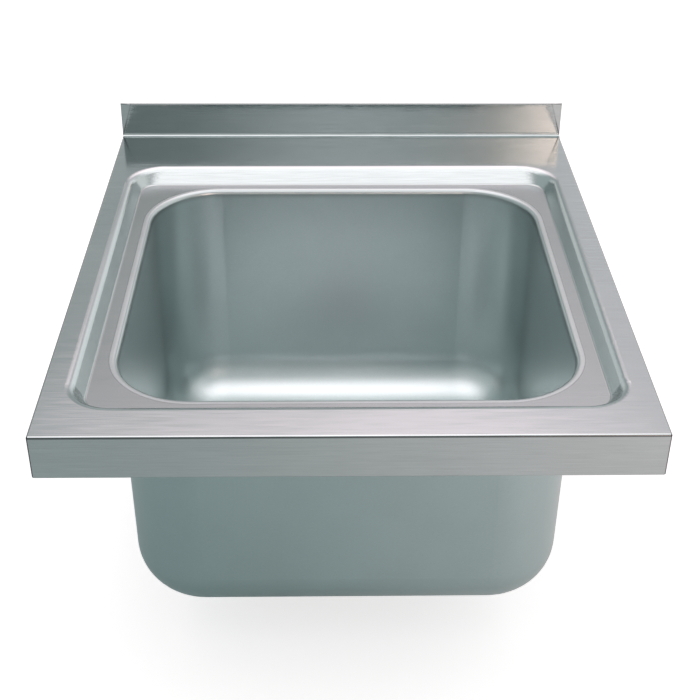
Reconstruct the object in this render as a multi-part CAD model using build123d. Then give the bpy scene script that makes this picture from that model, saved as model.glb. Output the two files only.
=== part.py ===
from build123d import *
from math import hypot
import os

# Worktop: one stainless sheet, pressed, folded down on three sides and up at the back
top_width = 600.0
top_depth = 700.0
sheet = 1.2
apron_height = 48.5
return_width = 12.0
fold_radius = 0.8
upstand_height = 46.0
upstand_depth = 10.0
upstand_bend = 4.0
hem_height = 15.0
mitre_width = 14.0
mitre_depth = 2.0
mitre_overrun = 1.3

# Pressed recess that drains the rim into the bowl
side_land = 27.5
front_land = 46.5
rear_land = 103.0
recess_depth = 16.0
side_ramp = 12.5
end_ramp = 20.0
recess_corner = 46.0
recess_floor_corner = 19.0
ramp_top_radius = 12.0
ramp_foot_radius = 3.0

# Deep-drawn bowl, butt-welded into the recess floor
bowl_sheet = 1.0
bowl_depth = 300.0
bowl_taper = 2.0
bowl_corner = 81.0
bowl_floor_radius = 59.0
side_ledge = 13.5
end_ledge = 8.6
lip_land = 3.0
lip_radius = 6.0
floor_fall = 3.0
fall_margin = 8.0

# Rear rail and stiffeners under the worktop
rail_flange = 45.0
rail_end_gap = 1.0
stiffener_sheet = 1.2
stiffener_height = 22.0
stiffener_flange = 7.0
stiffener_edge_gap = 3.0
stiffener_end_gap = 6.0

# Corner plates that take the leg bolts, with their weld nuts
leg_size = 40.0
plate_edge_gap = 1.0
plate_margin = 11.0
plate_thickness = 3.0
plate_lip = 10.0
plate_lip_sheet = 2.0
bolt_radius = 4.0
nut_across_flats = 14.0
nut_height = 6.5
nut_pilot_wall = 1.25
nut_pilot_clearance = 0.05

# Earth tag on the rear rail
earth_tag_width = 20.0
earth_tag_length = 32.0
earth_tag_sheet = 1.5
earth_tag_round = 5.0
earth_hole_radius = 3.25

# Sound-deadening pad stuck under the bowl floor
pad_margin = 28.0
pad_corner = 25.0
pad_thickness = 2.5
pad_hole_margin = 8.0

# Waste: steel cup in the bowl floor, drawn down on its gasket by a screw into the plastic body
waste_hole_radius = 45.0
seat_depth = 3.0
seat_margin = 2.0
gasket_thickness = 1.5
cup_flange_overlap = 12.0
cup_sheet = 1.0
cup_hole_clearance = 3.0
cup_taper = 4.0
cup_depth = 40.0
cup_shoulder = 3.0
cup_bend = 5.0
outlet_count = 6
outlet_radius = 5.5
outlet_circle = 17.0
seal_thickness = 3.0
seal_width = 9.0
body_clearance = 0.5
body_wall = 3.5
body_flange = 4.0
body_taper = 3.0
body_gap = 8.0
body_funnel = 8.0
thread_radius = 23.9
thread_length = 22.0
thread_chamfer = 1.0
outlet_wall = 3.4
boss_radius = 7.0
rib_count = 3
rib_thickness = 3.0
rib_height = 12.0
screw_radius = 3.0
screw_clearance = 0.05
screw_head_radius = 6.5
screw_head_height = 2.5
screw_socket_radius = 2.6
screw_socket_depth = 1.6
screw_length = 20.0

# Lift-out basket with its post, knob and rubber stopper
stopper_margin = 1.5
stopper_rim = 3.0
stopper_web = 4.0
stopper_screw_gap = 0.5
basket_sheet = 0.8
basket_clearance = 1.5
basket_height = 24.0
basket_bend = 4.0
basket_bead = 2.0
wall_slot_count = 24
wall_slot_width = 2.6
wall_slot_margin = 5.5
floor_slot_count = 10
floor_slot_width = 2.8
floor_slot_start = 12.0
floor_slot_end = 27.0
post_radius = 3.0
post_disc_radius = 9.0
post_disc = 1.0
post_height = 17.0
post_clearance = 0.1
knob_radius = 9.0
knob_foot_radius = 5.4
knob_height = 13.0
knob_waist_height = 6.0
knob_waist_round = 2.2
knob_edge_round = 4.5
knob_hole_depth = 8.0

# Places, counted from the plane and centre of the four leg bolts
z_deck = apron_height - sheet
z_under = z_deck - sheet
z_ledge = z_deck - recess_depth
z_bowl = z_ledge - bowl_depth
z_top = z_deck + upstand_height
y_front = -top_depth / 2
y_back = top_depth / 2
y_upstand = y_back - upstand_depth
y_bend = y_upstand - upstand_bend
x_inside = top_width / 2 - sheet
recess_front = y_front + front_land
recess_back = y_upstand - rear_land
recess_width = top_width - 2 * side_land
recess_length = recess_back - recess_front
basin_y = (recess_front + recess_back) / 2
floor_width = recess_width - 2 * side_ramp
floor_length = recess_length - 2 * end_ramp
seam_width = floor_width - 2 * side_ledge
seam_length = floor_length - 2 * end_ledge
bowl_width = seam_width - 2 * (lip_land + lip_radius)
bowl_length = seam_length - 2 * (lip_land + lip_radius)
seam_corner = bowl_corner + lip_radius + lip_land
leg_x = top_width / 2 - return_width - leg_size / 2
leg_y = top_depth / 2 - return_width - leg_size / 2
outside_fold = fold_radius + sheet
z_fold = z_top + outside_fold * 2 ** 0.5
corner_x = x_inside - plate_edge_gap
corner_y = y_back - sheet - plate_edge_gap
plate_size = corner_x - leg_x + leg_size / 2 + plate_margin
plate_cut = plate_size - leg_size


def rounded(width, length, corner, height):
    """A rounded rectangle round the basin's centre, at one height."""
    return Pos(0, basin_y, height) * RectangleRounded(width, length, corner)


def loop(solid, height, width, length):
    """The edges of a solid at one height that lie within a rectangle round the basin's centre."""
    return [
        edge for edge in solid.edges()
        if all(
            abs(vertex.Z - height) < 1e-4
            and abs(vertex.X) < width / 2 + 1e-3
            and abs(vertex.Y - basin_y) < length / 2 + 1e-3
            for vertex in edge.vertices()
        )
    ]


def outline(*points):
    """A closed face with straight sides."""
    return make_face(Polyline(*points, close=True))


def bent(face, corner, radius):
    """Round the corner of a face that lies nearest to a point."""
    nearest = min(face.vertices(), key=lambda v: hypot(v.X - corner[0], v.Y - corner[1]))
    return fillet(nearest, radius)


def folded(points, radii, thickness):
    """A folded sheet in section: a line along one face with its bend radii, the sheet on its right."""
    face_line = FilletPolyline(*points, radius=radii)
    return make_face(offset(face_line, amount=thickness, side=Side.RIGHT))


def across(section, width):
    """A section drawn as (depth, height), run across the worktop about its middle."""
    return extrude(Plane.YZ * section, amount=width / 2, both=True)


def turned(section):
    """A section drawn as (radius, height), turned about the upright axis."""
    return revolve(Plane.XZ * section, Axis.Z)


def hole(radius, thickness):
    """A cutter that passes right through a sheet with one face at height 0."""
    return Cylinder(radius, 4 * thickness)


def at_drain(solid, height):
    return Pos(0, basin_y, height) * solid


# Recess form, and the same form one sheet lower for the underside
def ramp_shift(ramp, radius):
    """How far a thickness or a radius carries along the land from the ramp's corner."""
    return radius * (hypot(ramp, recess_depth) - ramp) / recess_depth


def recess_form(drop, side_out, end_out):
    rim = rounded(
        recess_width + 2 * side_out,
        recess_length + 2 * end_out,
        recess_corner + side_out,
        z_deck - drop,
    )
    foot = rounded(
        floor_width + 2 * side_out,
        floor_length + 2 * end_out,
        recess_floor_corner + side_out,
        z_ledge - drop,
    )
    return loft([rim, foot], ruled=True)


def soften_recess(form, drop, side_out, end_out, top_radius, foot_radius):
    foot = loop(form, z_ledge - drop, floor_width + 2 * side_out, floor_length + 2 * end_out)
    form = fillet(foot, foot_radius)
    rim = loop(form, z_deck - drop, recess_width + 2 * side_out, recess_length + 2 * end_out)
    return fillet(rim, top_radius)


# Upstand: the sheet turns up, slopes back and turns down behind the deck, its ends faceted
upstand_root = y_bend - sheet
upstand_line = [
    (upstand_root, z_deck),
    (y_upstand, z_deck),
    (y_upstand, z_fold),
    (y_back, z_fold - upstand_depth),
    (y_back, z_fold - upstand_depth - hem_height),
]
upstand_section = folded(upstand_line, [upstand_bend, outside_fold, outside_fold], sheet)
mitre_foot = Vector(-top_width / 2, y_upstand, z_deck)
mitre_rise = Vector(mitre_width, 0, upstand_height) * mitre_overrun
mitre_back = Vector(-mitre_width, mitre_depth, 0)
mitre_face = make_face(Polyline(
    mitre_foot,
    mitre_foot + mitre_rise,
    mitre_foot + mitre_rise + mitre_back * (mitre_overrun + 1),
    mitre_foot + mitre_back,
    close=True,
))
into_mitre = mitre_back.cross(mitre_rise).normalized()
mitre_cut = extrude(mitre_face, amount=2 * mitre_depth, dir=-into_mitre)
mitre_plate = extrude(mitre_face, amount=sheet, dir=into_mitre)
mitre_notch = mitre_cut + mitre_plate
upstand = across(upstand_section, top_width) - mitre_notch - mirror(mitre_notch, Plane.YZ)
upstand_end = outline(*upstand_line, (y_back, z_under), (upstand_root, z_under))
upstand_end = bent(upstand_end, (y_upstand, z_fold), outside_fold)
upstand_end = bent(upstand_end, (y_back, z_fold - upstand_depth), outside_fold)

# Worktop: a tray folded down on three sides, with the recess pressed in and the upstand behind
def tray(inset, bottom, corner):
    width = top_width - 2 * inset
    depth = top_depth - inset
    top = z_deck - inset
    block = Pos(0, y_back - depth / 2, (top + bottom) / 2) * Box(width, depth, top - bottom)
    folds = [edge for edge in block.edges() if abs(edge.center().Y - y_back) > 1e-6]
    return fillet(folds, corner)


side_out = ramp_shift(side_ramp, sheet)
end_out = ramp_shift(end_ramp, sheet)
end_reach = ramp_shift(end_ramp, ramp_top_radius)
top_form = tray(0, -sheet, outside_fold) - recess_form(0, 0, 0)
top_form = soften_recess(top_form, 0, 0, 0, ramp_top_radius, ramp_foot_radius)
under_form = tray(sheet, 0, fold_radius) - recess_form(sheet, side_out, end_out)
under_form = soften_recess(
    under_form, sheet, side_out, end_out, ramp_top_radius - sheet, ramp_foot_radius + sheet
)
between_returns = Pos(0, return_width, 0) * Box(
    top_width - 2 * return_width, top_depth, 4 * sheet
)
behind_bend = Pos(0, (y_bend + y_back) / 2, z_deck) * Box(
    top_width, y_back - y_bend, 2 * sheet
)
bowl_hole = extrude(rounded(seam_width, seam_length, seam_corner, z_ledge), amount=sheet, both=True)
worktop = top_form - under_form - between_returns - behind_bend - bowl_hole + upstand

# Upstand caps: a plate welded into each end, with a narrow facet folded back from the front
end_plate = Pos(-top_width / 2, 0, 0) * extrude(Plane.YZ * upstand_end, amount=sheet)
end_space = Pos(-top_width / 2, 0, 0) * extrude(Plane.YZ * upstand_end, amount=2 * mitre_width)
upstand_cap = ((end_plate + mitre_plate) & end_space) - mitre_cut - upstand
upstand_caps = {
    "upstand_cap_left": upstand_cap,
    "upstand_cap_right": mirror(upstand_cap, Plane.YZ),
}


# Bowl: deep-drawn shell with a rolled lip, a fall to the drain and a pressed seat for the waste
z_fall = z_bowl - floor_fall
z_seat = z_fall - seat_depth
cup_flange_radius = waste_hole_radius + cup_flange_overlap
seat_radius = cup_flange_radius + seat_margin
fall_radius = min(bowl_width, bowl_length) / 2 - bowl_floor_radius - fall_margin


def bowl_form(grow):
    """The drawn body, grown by the sheet for its outside."""
    mouth = rounded(
        bowl_width + 2 * grow,
        bowl_length + 2 * grow,
        bowl_corner + grow,
        z_ledge,
    )
    floor = rounded(
        bowl_width + 2 * (grow - bowl_taper),
        bowl_length + 2 * (grow - bowl_taper),
        bowl_corner + grow - bowl_taper,
        z_bowl - grow,
    )
    body = loft([mouth, floor], ruled=True)
    body = fillet(body.edges().group_by(Axis.Z)[0], bowl_floor_radius + grow)
    fall = at_drain(Pos(0, 0, -floor_fall / 2 - grow) * Cone(
        seat_radius + bowl_sheet, fall_radius, floor_fall
    ), z_bowl)
    return body + fall


lip_plate = extrude(rounded(seam_width, seam_length, seam_corner, z_ledge), amount=-bowl_sheet)
bowl = lip_plate + bowl_form(bowl_sheet)
lip_under = loop(
    bowl, z_ledge - bowl_sheet, bowl_width + 2 * bowl_sheet, bowl_length + 2 * bowl_sheet
)
bowl = fillet(lip_under, lip_radius - bowl_sheet)
bowl = bowl + at_drain(Cylinder(
    seat_radius + bowl_sheet, seat_depth + bowl_sheet, align=(Align.CENTER, Align.CENTER, Align.MAX)
), z_fall)
bowl = bowl - bowl_form(0)
bowl = fillet(loop(bowl, z_ledge, bowl_width, bowl_length), lip_radius)
bowl = bowl - at_drain(Cylinder(
    seat_radius, seat_depth, align=(Align.CENTER, Align.CENTER, Align.MAX)
), z_fall)
bowl = bowl - at_drain(hole(waste_hole_radius, bowl_sheet), z_seat)

# Rear rail: a folded channel that closes the back between the side aprons
rail_line = [
    (y_back - return_width, -sheet),
    (y_back, -sheet),
    (y_back, z_under),
    (y_back - rail_flange, z_under),
]
rail_section = folded(reversed(rail_line), [outside_fold, outside_fold], sheet)
rail = across(rail_section, 2 * (x_inside - rail_end_gap))
for side in (-1, 1):
    rail = rail - Pos(side * top_width / 2, y_back, 0) * Box(
        2 * return_width, 2 * return_width, 2 * sheet
    )


# Stiffeners: folded hat sections bonded under the front and rear lands, between the corner plates
def stiffener(start, end):
    middle = (start + end) / 2
    half_width = (end - start) / 2 - stiffener_edge_gap
    half_crown = half_width - stiffener_flange
    low = z_under - stiffener_height
    outside = fold_radius + stiffener_sheet
    section = folded(
        [
            (middle - half_width, z_under),
            (middle - half_crown, z_under),
            (middle - half_crown, low + stiffener_sheet),
            (middle + half_crown, low + stiffener_sheet),
            (middle + half_crown, z_under),
            (middle + half_width, z_under),
        ],
        [outside, fold_radius, fold_radius, outside],
        stiffener_sheet,
    )
    return across(section, 2 * (corner_x - plate_size - stiffener_end_gap))


front_stiffener = stiffener(y_front + sheet, recess_front - end_reach)
rear_stiffener = stiffener(recess_back + end_reach, y_back - rail_flange)

# Corner plates: clipped gussets on the returns, each with a weld nut for a leg bolt
lip_inset = plate_lip_sheet * 2 ** 0.5
plate_outline = outline(
    (corner_x, corner_y),
    (corner_x - plate_size, corner_y),
    (corner_x - plate_size, corner_y - plate_cut),
    (corner_x - plate_cut, corner_y - plate_size),
    (corner_x, corner_y - plate_size),
)
lip_outline = outline(
    (corner_x - plate_size, corner_y - plate_cut),
    (corner_x - plate_cut, corner_y - plate_size),
    (corner_x - plate_cut, corner_y - plate_size + lip_inset),
    (corner_x - plate_size, corner_y - plate_cut + lip_inset),
)
pilot_radius = bolt_radius + nut_pilot_wall
corner_plate = extrude(plate_outline, amount=plate_thickness)
corner_plate = corner_plate + extrude(lip_outline, amount=plate_thickness + plate_lip)
corner_plate = corner_plate - Pos(leg_x, leg_y, 0) * hole(
    pilot_radius + nut_pilot_clearance, plate_thickness
)
corner_plates = {
    "corner_plate_rear_right": corner_plate,
    "corner_plate_rear_left": mirror(corner_plate, Plane.YZ),
    "corner_plate_front_right": mirror(corner_plate, Plane.XZ),
    "corner_plate_front_left": mirror(mirror(corner_plate, Plane.XZ), Plane.YZ),
}
weld_nut = Pos(0, 0, plate_thickness) * extrude(
    RegularPolygon(nut_across_flats / 2, 6, major_radius=False), amount=nut_height
)
weld_nut = weld_nut + extrude(Circle(pilot_radius), amount=plate_thickness)
weld_nut = weld_nut - hole(bolt_radius, plate_thickness + nut_height)
leg_weld_nuts = Compound(children=[
    Pos(x, y, 0) * weld_nut for x in (-leg_x, leg_x) for y in (-leg_y, leg_y)
])

# Earth tag: a drilled lug welded on the rail's bottom flange
tag_middle = corner_y - earth_tag_length / 2
earth_tag = Pos(0, tag_middle, 0) * extrude(
    Rectangle(earth_tag_width, earth_tag_length), amount=earth_tag_sheet
)
tag_ends = [edge for edge in earth_tag.edges().filter_by(Axis.Z) if edge.center().Y < tag_middle]
earth_tag = fillet(tag_ends, earth_tag_round)
tag_hole_y = corner_y - earth_tag_length + earth_tag_width / 2
earth_tag = earth_tag - Pos(0, tag_hole_y, 0) * hole(earth_hole_radius, earth_tag_sheet)

# Sound pad: a bonded sheet that follows the fall of the bowl floor
floor_outside = bowl_form(bowl_sheet)
pad_block = extrude(
    rounded(
        bowl_width - 2 * (bowl_floor_radius + pad_margin),
        bowl_length - 2 * (bowl_floor_radius + pad_margin),
        pad_corner,
        z_bowl,
    ),
    amount=-2 * (bowl_sheet + floor_fall + pad_thickness),
)
sound_pad = (pad_block & (Pos(0, 0, -pad_thickness) * floor_outside)) - floor_outside
sound_pad = sound_pad - at_drain(
    hole(seat_radius + bowl_sheet + pad_hole_margin, bowl_sheet + floor_fall + pad_thickness), z_bowl
)

# Waste: gasket, steel cup, seal, plastic body and centre screw, with heights from the seat
cup_gasket = turned(outline(
    (waste_hole_radius, 0),
    (cup_flange_radius, 0),
    (cup_flange_radius, gasket_thickness),
    (waste_hole_radius, gasket_thickness),
))
cup_radius = waste_hole_radius - cup_hole_clearance - cup_sheet
cup_foot_radius = cup_radius - cup_taper
cup_floor = gasket_thickness + cup_sheet - cup_depth
cup_under = cup_floor - cup_sheet
cup_outline = outline(
    (cup_flange_radius, gasket_thickness),
    (cup_flange_radius, gasket_thickness + cup_sheet),
    (cup_radius, gasket_thickness + cup_sheet),
    (cup_foot_radius, cup_floor),
    (0, cup_floor),
    (0, cup_under),
    (cup_foot_radius + cup_sheet, cup_under),
    (cup_radius + cup_sheet, gasket_thickness),
)
cup_outline = bent(cup_outline, (cup_radius, gasket_thickness + cup_sheet), cup_shoulder)
cup_outline = bent(cup_outline, (cup_radius + cup_sheet, gasket_thickness), cup_shoulder - cup_sheet)
cup_outline = bent(cup_outline, (cup_foot_radius, cup_floor), cup_bend)
cup_outline = bent(cup_outline, (cup_foot_radius + cup_sheet, cup_under), cup_bend + cup_sheet)
strainer_cup = turned(cup_outline)
for place in PolarLocations(outlet_circle, outlet_count):
    strainer_cup = strainer_cup - Pos(0, 0, cup_floor) * place * hole(outlet_radius, cup_sheet)
strainer_cup = strainer_cup - Pos(0, 0, cup_floor) * hole(screw_radius + screw_clearance, cup_sheet)

seal_top = -bowl_sheet
body_top = seal_top - seal_thickness
body_radius = waste_hole_radius + body_clearance
flange_radius = body_radius + body_clearance + seal_width
body_seal = turned(outline(
    (flange_radius - seal_width, seal_top),
    (flange_radius, seal_top),
    (flange_radius, body_top),
    (flange_radius - seal_width, body_top),
))
body_foot = cup_under - body_gap
outlet_top = body_foot - body_funnel
outlet_end = outlet_top - thread_length
outlet_inside = thread_radius - outlet_wall
waste_body = turned(outline(
    (body_radius, body_top),
    (flange_radius, body_top),
    (flange_radius, body_top - body_flange),
    (body_radius + body_wall, body_top - body_flange),
    (body_radius - body_taper + body_wall, body_foot),
    (thread_radius, outlet_top),
    (thread_radius, outlet_end + thread_chamfer),
    (thread_radius - thread_chamfer, outlet_end),
    (outlet_inside, outlet_end),
    (outlet_inside, outlet_top + body_wall),
    (body_radius - body_taper, body_foot + body_wall),
))
boss_end = outlet_top - rib_height
boss = Pos(0, 0, boss_end) * extrude(Circle(boss_radius), amount=cup_under - boss_end)
rib_reach = outlet_inside + outlet_wall / 2
for place in PolarLocations(rib_reach / 2, rib_count, start_angle=90):
    boss = boss + Pos(0, 0, boss_end + rib_height / 2) * place * Box(
        rib_reach, rib_thickness, rib_height
    )
boss = boss - Cylinder(screw_radius + screw_clearance, -2 * boss_end)
waste_body = waste_body + boss

centre_screw = Pos(0, 0, cup_floor) * (
    extrude(Circle(screw_head_radius), amount=screw_head_height)
    + extrude(Circle(screw_radius), amount=-screw_length)
)
centre_screw = centre_screw - Pos(0, 0, cup_floor + screw_head_height) * extrude(
    RegularPolygon(screw_socket_radius, 6), amount=-screw_socket_depth
)

# Basket: perforated cup on a rubber stopper, lifted by a knob on its post
stopper_radius = outlet_circle + outlet_radius + stopper_margin + stopper_rim
stopper_recess = screw_head_height + stopper_screw_gap + post_disc
basket_floor = cup_floor + stopper_recess + stopper_web
basket_top = basket_floor + basket_height
basket_foot_radius = cup_foot_radius - basket_clearance
basket_top_radius = basket_foot_radius + (cup_radius - cup_foot_radius) * basket_height / cup_depth
stopper = turned(outline(
    (post_radius + post_clearance, basket_floor),
    (stopper_radius - stopper_rim, basket_floor),
    (stopper_radius, cup_floor + stopper_recess),
    (stopper_radius, cup_floor),
    (stopper_radius - stopper_rim, cup_floor),
    (stopper_radius - stopper_rim, cup_floor + stopper_recess),
    (post_radius + post_clearance, cup_floor + stopper_recess),
))
basket_outline = outline(
    (post_radius + post_clearance, basket_floor),
    (basket_foot_radius, basket_floor),
    (basket_top_radius - basket_bead, basket_top - basket_bead),
    (basket_top_radius, basket_top - basket_bead),
    (basket_top_radius, basket_top),
    (basket_top_radius - basket_bead - basket_sheet, basket_top),
    (basket_foot_radius - basket_sheet, basket_floor + basket_sheet),
    (post_radius + post_clearance, basket_floor + basket_sheet),
)
basket_outline = bent(basket_outline, (basket_foot_radius, basket_floor), basket_bend)
basket_outline = bent(
    basket_outline,
    (basket_foot_radius - basket_sheet, basket_floor + basket_sheet),
    basket_bend - basket_sheet,
)
basket = turned(basket_outline)
slot_height = basket_height - 2 * wall_slot_margin
slot_middle = basket_floor + basket_height / 2
for place in PolarLocations(basket_foot_radius, wall_slot_count):
    basket = basket - Pos(0, 0, slot_middle) * place * Box(8 * basket_sheet, wall_slot_width, slot_height)
floor_slot_length = floor_slot_end - floor_slot_start
floor_slot_middle = (floor_slot_start + floor_slot_end) / 2
for place in PolarLocations(floor_slot_middle, floor_slot_count):
    basket = basket - Pos(0, 0, basket_floor) * place * Box(
        floor_slot_length, floor_slot_width, 4 * basket_sheet
    )

disc_top = cup_floor + stopper_recess
post_foot = basket_floor + basket_sheet
post_top = post_foot + post_height
basket_post = turned(outline(
    (0, disc_top - post_disc),
    (post_disc_radius, disc_top - post_disc),
    (post_disc_radius, disc_top),
    (post_radius, disc_top),
    (post_radius, post_foot),
    (post_disc_radius, post_foot),
    (post_disc_radius, post_foot + post_disc),
    (post_radius, post_foot + post_disc),
    (post_radius, post_top),
    (0, post_top),
))
knob_foot = post_top - knob_hole_depth
knob_top = knob_foot + knob_height
knob_waist = knob_foot + knob_waist_height
knob_outline = outline(
    (0, knob_foot),
    (knob_foot_radius, knob_foot),
    (knob_radius, knob_waist),
    (knob_radius, knob_top),
    (0, knob_top),
)
knob_outline = bent(knob_outline, (knob_radius, knob_top), knob_edge_round)
knob_outline = bent(knob_outline, (knob_radius, knob_waist), knob_waist_round)
basket_knob = turned(knob_outline) - Pos(0, 0, knob_foot) * extrude(
    Circle(post_radius + post_clearance), amount=knob_hole_depth
)

nodes = {
    "worktop": worktop,
    "bowl": bowl,
    **upstand_caps,
    "rear_rail": rail,
    "front_stiffener": front_stiffener,
    "rear_stiffener": rear_stiffener,
    **corner_plates,
    "leg_weld_nuts": leg_weld_nuts,
    "earth_tag": earth_tag,
    "sound_pad": sound_pad,
}
at_waste = {
    "cup_gasket": cup_gasket,
    "strainer_cup": strainer_cup,
    "body_seal": body_seal,
    "waste_body": waste_body,
    "centre_screw": centre_screw,
    "basket_stopper": stopper,
    "strainer_basket": basket,
    "basket_post": basket_post,
    "basket_knob": basket_knob,
}
for name, solid in at_waste.items():
    nodes[name] = at_drain(solid, z_seat)

os.makedirs("parts", exist_ok=True)
for name, node in nodes.items():
    export_step(node, f"parts/{name}.step")
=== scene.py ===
import math

import bpy
from mathutils import Matrix, Vector


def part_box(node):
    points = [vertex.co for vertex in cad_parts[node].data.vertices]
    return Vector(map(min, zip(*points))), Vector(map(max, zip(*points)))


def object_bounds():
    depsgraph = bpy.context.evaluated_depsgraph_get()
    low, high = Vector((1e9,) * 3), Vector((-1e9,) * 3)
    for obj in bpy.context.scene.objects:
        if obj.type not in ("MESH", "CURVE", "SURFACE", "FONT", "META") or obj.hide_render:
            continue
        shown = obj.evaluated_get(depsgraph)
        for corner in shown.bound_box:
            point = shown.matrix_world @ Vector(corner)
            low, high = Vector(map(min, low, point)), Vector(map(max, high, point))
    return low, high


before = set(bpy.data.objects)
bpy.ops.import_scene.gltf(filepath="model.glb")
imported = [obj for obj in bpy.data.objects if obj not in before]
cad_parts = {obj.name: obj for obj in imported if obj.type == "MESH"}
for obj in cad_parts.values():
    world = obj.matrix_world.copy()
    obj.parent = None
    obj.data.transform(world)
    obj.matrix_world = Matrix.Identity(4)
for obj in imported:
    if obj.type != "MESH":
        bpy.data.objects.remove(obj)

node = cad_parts
cad_box = [list(corner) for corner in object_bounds()]

# Worktop
# One sheet of stainless steel, pressed and folded, with the mill's polishing grain running
# along its width and standing upright on the side aprons. The folds are darkened with painted
# shade, the recess is a little rougher, and the recess floor is darkened with painted shade.


class Wire:
    """A socket in a material's tree. Arithmetic on it adds Math nodes."""

    def __init__(self, tree, socket=None):
        self.tree = tree
        self.socket = socket

    def node(self, kind, settings=None, inputs=None, output=0):
        made = self.tree.nodes.new(kind)
        for name, value in (settings or {}).items():
            setattr(made, name, value)
        for name, value in (inputs or {}).items():
            if isinstance(value, Wire):
                self.tree.links.new(value.socket, made.inputs[name])
            else:
                made.inputs[name].default_value = value
        return Wire(self.tree, made.outputs[output])

    def math(self, operation, first, second=0.0):
        return self.node("ShaderNodeMath", {"operation": operation}, {0: first, 1: second})

    def __add__(self, other):
        return self.math("ADD", self, other)

    def __radd__(self, other):
        return self.math("ADD", other, self)

    def __sub__(self, other):
        return self.math("SUBTRACT", self, other)

    def __rsub__(self, other):
        return self.math("SUBTRACT", other, self)

    def __mul__(self, other):
        return self.math("MULTIPLY", self, other)

    def __rmul__(self, other):
        return self.math("MULTIPLY", other, self)

    def __neg__(self):
        return self.math("MULTIPLY", self, -1.0)

    def __abs__(self):
        return self.math("ABSOLUTE", self)

    def split(self):
        """The three numbers of a vector."""
        return [self.node("ShaderNodeSeparateXYZ", {}, {0: self}, index) for index in range(3)]

    def join(self, x, y, z):
        return self.node("ShaderNodeCombineXYZ", {}, {0: x, 1: y, 2: z})

    def vector(self, operation, first, second=(0, 0, 0), output=0):
        return self.node(
            "ShaderNodeVectorMath", {"operation": operation}, {0: first, 1: second}, output
        )

    def scaled(self, vector, number):
        return self.node(
            "ShaderNodeVectorMath", {"operation": "SCALE"}, {"Vector": vector, "Scale": number}
        )

    def ease(self, value, start, end, low=0.0, high=1.0):
        """Eases from low to high as a value goes from start to end."""
        return self.node(
            "ShaderNodeMapRange",
            {"interpolation_type": "SMOOTHSTEP"},
            {"Value": value, "From Min": start, "From Max": end, "To Min": low, "To Max": high},
        )

    def noise(self, place, scale, detail=2.0, roughness=0.5):
        return self.node(
            "ShaderNodeTexNoise",
            {},
            {"Vector": place, "Scale": scale, "Detail": detail, "Roughness": roughness},
        )

    def blend(self, amount, first, second):
        """A colour between two, by an amount from 0 to 1."""
        return self.node(
            "ShaderNodeMix", {"data_type": "RGBA"}, {0: amount, 6: first, 7: second}, 2
        )

    def place(self):
        return self.node("ShaderNodeTexCoord", output=3)

    def facing(self):
        return self.node("ShaderNodeNewGeometry", output=1)

    def bump(self, height, depth, strength=0.5):
        return self.node(
            "ShaderNodeBump", {}, {"Strength": strength, "Distance": depth, "Height": height}
        )


def new_material(name):
    """An empty material, with its tree and its output node."""
    material = bpy.data.materials.new(name)
    material.use_nodes = True
    material.node_tree.nodes.clear()
    output = material.node_tree.nodes.new("ShaderNodeOutputMaterial")
    return material, Wire(material.node_tree), output


def surface(wire, output, inputs):
    """A Principled surface with these sockets, joined to the material's output."""
    shader = wire.node("ShaderNodeBsdfPrincipled", {}, inputs)
    wire.tree.links.new(shader.socket, output.inputs[0])


def dress(names, material):
    """Gives a finish to CAD pieces."""
    for name in names:
        node[name].data.materials.clear()
        node[name].data.materials.append(material)


top_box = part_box("worktop")
half_width = top_box[1][0]
apron_from, apron_to = half_width - 0.0015, half_width - 0.0011
apron_stretch = 0.99
hair_along, hair_across = 26, 1700
streak_along, streak_across = 5, 420
cloud_scale = 9.0


def grained_steel(name, light, dark, roughness, grain, marks=None):
    """Sheet steel with a fine grain along its width, turned upright on the side aprons.

    The marks, painted shade among them, give how much of the colour is kept, and how much rougher
    the steel is.
    """
    material, wire, output = new_material(name)
    place = wire.place()
    facing = wire.facing()
    x, y, z = place.split()
    facing_y, facing_z = facing.split()[1:]
    upright = 1 - apron_stretch * wire.ease(abs(x), apron_from, apron_to)
    hair_place = wire.join(x * hair_along, y * hair_across, z * hair_across * upright)
    streak_place = wire.join(x * streak_along, y * streak_across, z * streak_across * upright)
    hair = wire.noise(hair_place, 1.0, 1.0)
    streak = wire.noise(streak_place, 1.0, 2.0)
    cloud = wire.noise(place, cloud_scale, 4.0, 0.6)
    across = wire.vector("NORMALIZE", wire.join(0.0, facing_z + 0.001, -facing_y))
    tilt = (hair - 0.5) * grain + (streak - 0.5) * (grain * 0.2)
    normal = wire.vector("NORMALIZE", wire.vector("ADD", facing, wire.scaled(across, tilt)))
    shade = hair * 0.5 + streak * 0.25 + cloud * 0.25
    colour = wire.blend(wire.ease(shade, 0.30, 0.70), (*dark, 1), (*light, 1))
    kept, rubbed = marks(wire, place, facing) if marks else (1.0, 0.0)
    surface(wire, output, {
        "Base Color": wire.scaled(colour, kept),
        "Metallic": 1.0,
        "Roughness": roughness + rubbed + (cloud - 0.5) * 0.08 + (streak - 0.5) * 0.05,
        "Normal": normal,
    })
    return material


bowl_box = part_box("bowl")
bowl_middle = [(low + high) / 2 for low, high in zip(*bowl_box)]
recess_floor = bowl_box[1][2]
seam_corner = 0.090
seam_width = 0.0009
seam_dark = 0.22


def seam_distance(wire, place):
    """How far a place lies outside the weld between bowl and worktop, seen from above."""
    half = [(high - low) / 2 - seam_corner for low, high in zip(*bowl_box)]
    x, y = place.split()[:2]
    over_x = wire.math("MAXIMUM", abs(x - bowl_middle[0]) - half[0], 0.0)
    over_y = wire.math("MAXIMUM", abs(y - bowl_middle[1]) - half[1], 0.0)
    return wire.vector("LENGTH", wire.join(over_x, over_y, 0.0), output=1) - seam_corner


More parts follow.
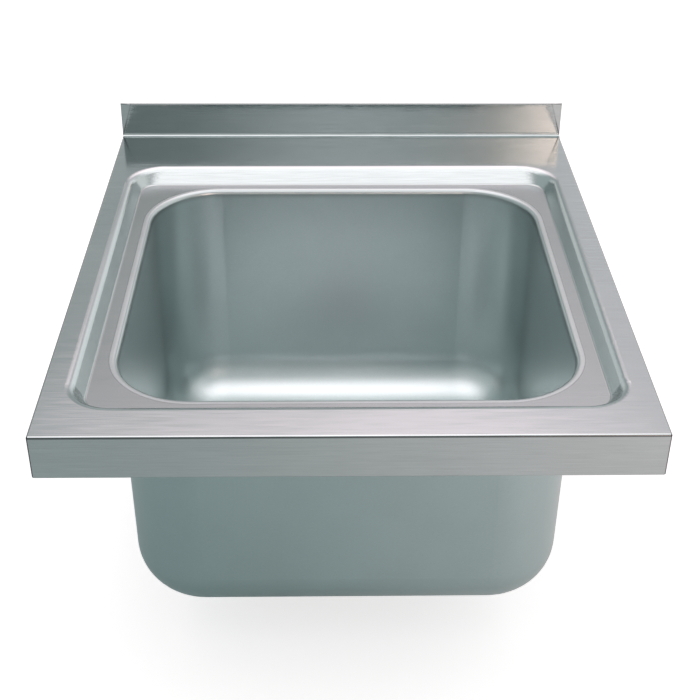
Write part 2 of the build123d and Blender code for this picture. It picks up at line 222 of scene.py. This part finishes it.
front_edge = -top_box[0][1]
fold = 0.002
upstand_top = top_box[1][2]
upstand_height = 0.046
upstand_depth = 0.010
upstand_face = top_box[1][1] - upstand_depth
deck = upstand_top - upstand_height
facet_width = 0.014
weld_core, weld_edge = 0.0004, 0.0013
weld_foot, weld_top = deck + 0.012, deck + 0.030
ramp_start, ramp_full = deck - 0.0005, deck - 0.005
rim = 0.01
# How much of the colour each mark takes away (painted shade at the folds and on the recess floor),
# and how much rougher the recess is.
side_fold_painted_shade = 0.84
front_fold_painted_shade = 0.74
top_fold_painted_shade = 0.40
weld_foot_dark, weld_top_dark = 0.62, 0.20
recess_floor_painted_shade = 0.22
recess_roughness = 0.12


def sheet_marks_and_painted_shade(wire, place, facing):
    """Painted shade on the folds and recess floor, the upstand's weld lines, the bowl's ground seam
    and a rougher recess.
    """
    x, y, z = place.split()
    # Painted shade along the side, front and top folds.
    sideways = abs(facing.split()[0])
    beside = wire.ease(abs(x), half_width - 1.3 * fold, half_width - 0.7 * fold)
    side_fold_shade_mask = beside * wire.ease(sideways, 0.10, 0.40)
    side_fold_shade_mask = side_fold_shade_mask * wire.ease(sideways, 0.90, 0.99, 1.0, 0.0)
    before = wire.ease(-y, front_edge - 0.6 * fold, front_edge - 0.3 * fold)
    front_fold_shade_mask = before * wire.ease(z, deck - 1.5 * fold, deck - 0.9 * fold)
    front_fold_shade_mask = front_fold_shade_mask * wire.ease(z, deck - 0.45 * fold, deck - 0.2 * fold, 1.0, 0.0)
    top_fold_shade_mask = wire.ease(z, upstand_top - fold, upstand_top - 0.6 * fold)
    lean = (z - deck) * (facet_width / upstand_height)
    weld_line = 1 - wire.ease(abs(abs(x) - half_width + lean), weld_core, weld_edge)
    weld_line = weld_line * wire.ease(y, upstand_face - fold, upstand_face - 0.25 * fold)
    weld_line = weld_line * wire.ease(z, deck, deck + fold)
    weld_dark = wire.ease(z, weld_foot, weld_top, weld_foot_dark, weld_top_dark)
    seam = 1 - wire.ease(abs(seam_distance(wire, place)), 0.0, seam_width)
    sunk = wire.ease(z, ramp_full, ramp_start, 1.0, 0.0)
    sunk = sunk * wire.ease(abs(x), half_width - 2 * rim, half_width - rim, 1.0, 0.0)
    sunk = sunk * wire.ease(-y, front_edge - 2 * rim, front_edge - rim, 1.0, 0.0)
    # Painted shade on the recess floor; the rougher recess above is the real finish.
    recess_floor_shade_mask = sunk * wire.ease(z, recess_floor + 0.0002, recess_floor + 0.002, 1.0, 0.0)
    kept = (1 - side_fold_painted_shade * side_fold_shade_mask) * (1 - front_fold_painted_shade * front_fold_shade_mask)
    kept = kept * (1 - top_fold_painted_shade * top_fold_shade_mask) * (1 - recess_floor_painted_shade * recess_floor_shade_mask)
    kept = kept * (1 - weld_line * weld_dark) * (1 - seam_dark * seam)
    return kept, recess_roughness * sunk


sheet_steel = grained_steel(
    "sheet_steel", (0.420, 0.475, 0.475), (0.360, 0.408, 0.408), 0.13, 0.12, sheet_marks_and_painted_shade
)
dress(["worktop"], sheet_steel)

# Bowl
# Deep-drawn from one blank and satin polished inside, which leaves a soft even sheen. The
# outside is darkened with painted shade, and so is a band below the lip. The lip is
# butt-welded into the recess floor, and the weld is ground flush and polished.


satin_across, satin_upright = 420, 1100


def satin_steel(name, light, dark, roughness, marks=None):
    """Drawn steel with a fine satin polish and faint clouding."""
    material, wire, output = new_material(name)
    place = wire.place()
    x, y, z = place.split()
    hair_place = wire.join(x * satin_across, y * satin_across, z * satin_upright)
    hair = wire.noise(hair_place, 1.0, 2.0)
    cloud = wire.noise(place, cloud_scale, 4.0, 0.6)
    shade = hair * 0.4 + cloud * 0.6
    colour = wire.blend(wire.ease(shade, 0.35, 0.65), (*dark, 1), (*light, 1))
    if marks:
        colour = wire.vector("MULTIPLY", colour, marks(wire, place, wire.facing()))
    surface(wire, output, {
        "Base Color": colour,
        "Metallic": 1.0,
        "Roughness": roughness + (cloud - 0.5) * 0.10 + (hair - 0.5) * 0.08,
        "Normal": wire.bump(hair, 0.00012, 0.35),
    })
    return material


bowl_wall = 0.001
lip_depth = 0.012
# Painted shade: the colour lost in a band below the lip, and the darker tint of the outside.
lip_band_painted_shade = 0.30
bowl_outside_painted_shade = (0.57, 0.655, 0.655)


def bowl_seam_and_painted_shade(wire, place, facing):
    """Painted shade on the bowl's outside and in a band below its lip, and the ground seam round
    it.
    """
    from_middle = wire.vector("SUBTRACT", place, bowl_middle)
    outward = wire.vector("DOT_PRODUCT", from_middle, facing, 1)
    z = place.split()[2]
    # Painted shade on the outside and in a band below the lip.
    below_lip = wire.ease(
        z, recess_floor - 0.9 * bowl_wall, recess_floor - 0.4 * bowl_wall, 1.0, 0.0
    )
    outside = below_lip * wire.ease(outward, -0.01, 0.01)
    lip = wire.ease(z, recess_floor - lip_depth, recess_floor - 0.25 * lip_depth)
    seam = 1 - wire.ease(abs(seam_distance(wire, place)), 0.0, seam_width)
    kept = (1 - lip_band_painted_shade * lip) * (1 - seam_dark * seam)
    return wire.scaled(wire.blend(outside, (1, 1, 1, 1), (*bowl_outside_painted_shade, 1)), kept)


bowl_steel = satin_steel(
    "bowl_steel", (0.590, 0.665, 0.665), (0.550, 0.620, 0.620), 0.36, bowl_seam_and_painted_shade
)
dress(["bowl"], bowl_steel)

# Upstand caps
# Small plates of the same sheet, folded to a narrow facet and welded into the upstand's ends.
dress(["upstand_cap_left", "upstand_cap_right"], sheet_steel)

# Rear rail, stiffeners, corner plates and earth tag
# Folded sheet and thicker plates with the dull finish of the mill, welded or bonded in place.
mill_steel = grained_steel("mill_steel", (0.47, 0.48, 0.49), (0.38, 0.39, 0.40), 0.32, 0.08)
dress(["rear_rail", "front_stiffener", "rear_stiffener", "earth_tag"], mill_steel)
for side in ("left", "right"):
    dress([f"corner_plate_front_{side}", f"corner_plate_rear_{side}"], mill_steel)

# Leg nuts
# Hexagonal weld nuts, turned and left bright, pressed into the corner plates.
turned_steel = satin_steel("turned_steel", (0.50, 0.50, 0.50), (0.42, 0.42, 0.42), 0.24)
dress(["leg_weld_nuts"], turned_steel)

# Sound pad
# A sheet of filled bitumen stuck under the bowl's floor, dull black with a sandy face.


def dull_coat(name, light, dark, roughness, grain, depth, ridges=None):
    """Rubber, bitumen or plastic with a fine grain."""
    material, wire, output = new_material(name)
    place = wire.place()
    fine = wire.noise(place, grain, 3.0, 0.6)
    cloud = wire.noise(place, 24.0, 3.0, 0.6)
    shade = fine * 0.5 + cloud * 0.5
    normal = wire.bump(fine, depth)
    if ridges:
        height, ridge_depth = ridges(wire, place)
        normal = wire.node(
            "ShaderNodeBump", {},
            {"Strength": 1.0, "Distance": ridge_depth, "Height": height, "Normal": normal},
        )
    surface(wire, output, {
        "Base Color": wire.blend(wire.ease(shade, 0.35, 0.65), (*dark, 1), (*light, 1)),
        "Roughness": roughness + (cloud - 0.5) * 0.15,
        "Normal": normal,
    })
    return material


bitumen = dull_coat("bitumen", (0.075, 0.075, 0.078), (0.045, 0.045, 0.047), 0.8, 900.0, 0.0006)
dress(["sound_pad"], bitumen)

# Waste cup and basket
# Polished pressings: the cup hangs in the bowl's drain, and the slotted basket lifts out.
polished_steel = satin_steel("polished_steel", (0.62, 0.63, 0.64), (0.56, 0.57, 0.58), 0.14)
dress(["strainer_cup", "strainer_basket"], polished_steel)
dress(["centre_screw", "basket_post"], turned_steel)

# Seals and stopper
# Matt black rubber: a gasket under the cup's flange, a seal below, and the basket's stopper.
rubber = dull_coat("rubber", (0.045, 0.045, 0.047), (0.028, 0.028, 0.030), 0.55, 700.0, 0.0001)
dress(["cup_gasket", "body_seal", "basket_stopper"], rubber)

# Waste body
# Moulded off-white plastic, ending in the pipe thread that takes the trap's nut.


def outlet_thread(wire, place):
    """The pipe thread cut round the outlet, 11 turns to the inch."""
    thread_pitch = 0.00231
    thread_depth = 0.0011
    thread_runout = 0.001
    thread_length = 0.021
    thread_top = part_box("waste_body")[0][2] + thread_length
    z = place.split()[2]
    turn = wire.math("PINGPONG", z, thread_pitch / 2) * (2 / thread_pitch)
    within = wire.ease(z, thread_top, thread_top + thread_runout, 1.0, 0.0)
    return turn * within, thread_depth


white_plastic = dull_coat(
    "white_plastic", (0.78, 0.78, 0.76), (0.72, 0.72, 0.70), 0.42, 500.0, 0.00005, outlet_thread
)
dress(["waste_body"], white_plastic)

# Basket knob
# Glossy black plastic, moulded, with the faint orange-peel of its mould.
knob_plastic = dull_coat(
    "knob_plastic", (0.035, 0.035, 0.037), (0.022, 0.022, 0.024), 0.22, 600.0, 0.00003
)
dress(["basket_knob"], knob_plastic)

# Studio floor
# A pale floor under the outlet. Its glow keeps it white to the camera, and in the steel it
# shows a little darker on the left, away from the lights.
floor_reach = 14.0
floor_drop = 0.0005
floor_z = cad_box[0][2] - floor_drop
floor_mesh = bpy.data.meshes.new("studio_floor")
floor_corners = [(-1, -1), (1, -1), (1, 1), (-1, 1)]
floor_mesh.from_pydata(
    [(x * floor_reach, y * floor_reach, floor_z) for x, y in floor_corners], [], [(0, 1, 2, 3)]
)
floor = bpy.data.objects.new("studio_floor", floor_mesh)
bpy.context.scene.collection.objects.link(floor)


def ray_kinds(wire):
    """Whether a ray comes from the camera, and whether it comes by way of metal or glass."""
    camera_ray = wire.node("ShaderNodeLightPath", output=0)
    glossy_ray = wire.node("ShaderNodeLightPath", output=3)
    clear_ray = wire.node("ShaderNodeLightPath", output=6)
    return camera_ray, wire.math("MAXIMUM", glossy_ray, clear_ray)


floor_glow = 0.66
glow_left = (0.00, 0.07, 0.07)
glow_right = (0.60, 0.50, 0.49)
glow_start, glow_end = -0.45, 0.75
floor_material, wire, output = new_material("studio_floor")
camera_ray, metal_ray = ray_kinds(wire)
across_floor = wire.ease(wire.place().split()[0], glow_start, glow_end)
glow = wire.scaled(wire.blend(across_floor, (*glow_left, 1), (*glow_right, 1)), metal_ray)
glow = wire.blend(camera_ray, glow, (floor_glow, floor_glow, floor_glow, 1))
surface(wire, output, {
    "Base Color": (0.80, 0.80, 0.80, 1),
    "Roughness": 0.9,
    "Specular IOR Level": 0.1,
    "Emission Color": glow,
    "Emission Strength": 1.0,
})
floor_mesh.materials.append(floor_material)

# Studio light
# White behind the object to the camera. The steel sees an even fill and a few soft boxes,
# each given by the way towards it, the angles in degrees out to which it is full and at
# which it has faded out, and its colour: overhead, behind, beside, and before the sink.
fill = (0.60, 0.62, 0.62)
soft_boxes = [
    ((0.00, 0.05, 1.00), 13, 46, (1.85, 1.62, 1.66)),
    ((0.00, 0.62, 0.79), 8, 24, (1.35, 1.00, 1.08)),
    ((0.31, 0.77, 0.56), 6, 22, (0.42, 0.32, 0.35)),
    ((0.50, 0.85, 0.16), 6, 26, (0.62, 0.60, 0.60)),
    ((-0.50, 0.85, 0.16), 6, 26, (0.48, 0.44, 0.44)),
    ((-0.94, 0.20, 0.26), 20, 55, (0.10, 0.14, 0.14)),
    ((0.94, 0.20, 0.26), 20, 55, (0.75, 0.68, 0.68)),
    ((0.02, -0.91, 0.41), 1, 7, (1.20, 1.02, 1.05)),
    ((0.316, -0.868, 0.383), 9.2, 10.4, (5.60, 3.75, 3.35)),
]
dim_on_floor = 0.5
world = bpy.data.worlds.new("studio")
bpy.context.scene.world = world
world.use_nodes = True
world.node_tree.nodes.clear()
air = Wire(world.node_tree)
toward = air.node("ShaderNodeTexCoord", output=0)
camera_ray, metal_ray = ray_kinds(air)
light = fill
for direction, full_angle, fade_angle, colour in soft_boxes:
    nearness = air.vector("DOT_PRODUCT", toward, tuple(Vector(direction).normalized()), 1)
    amount = air.ease(
        nearness, math.cos(math.radians(fade_angle)), math.cos(math.radians(full_angle))
    )
    light = air.vector("ADD", air.scaled(colour, amount), light)
light = air.scaled(light, dim_on_floor + (1 - dim_on_floor) * metal_ray)
background = air.node(
    "ShaderNodeBackground", {},
    {"Color": air.blend(camera_ray, light, (1, 1, 1, 1)), "Strength": 1.0},
)
world_output = air.tree.nodes.new("ShaderNodeOutputWorld")
air.tree.links.new(background.socket, world_output.inputs[0])

# Camera
# Set where the photograph was taken from, in front of the sink and above it.
camera_data = bpy.data.cameras.new("camera")
camera = bpy.data.objects.new("camera", camera_data)
bpy.context.scene.collection.objects.link(camera)
bpy.context.scene.camera = camera
image_side = 700
focal_pixels = 1283.635
camera_data.sensor_width = 36.0
camera_data.lens = focal_pixels * camera_data.sensor_width / image_side
camera_data.clip_end = 100.0
camera_place = (-0.02175, -1.30344, 0.75965)
pitch, roll, yaw = -0.57452, -0.00821, -0.02156
turn = Matrix.Rotation(yaw, 4, "Z") @ Matrix.Rotation(pitch, 4, "X") @ Matrix.Rotation(roll, 4, "Y")
level_view = Matrix.Rotation(math.pi / 2, 4, "X")
camera.matrix_world = Matrix.Translation(camera_place) @ turn @ level_view

bpy.context.scene.view_settings.view_transform = "Standard"
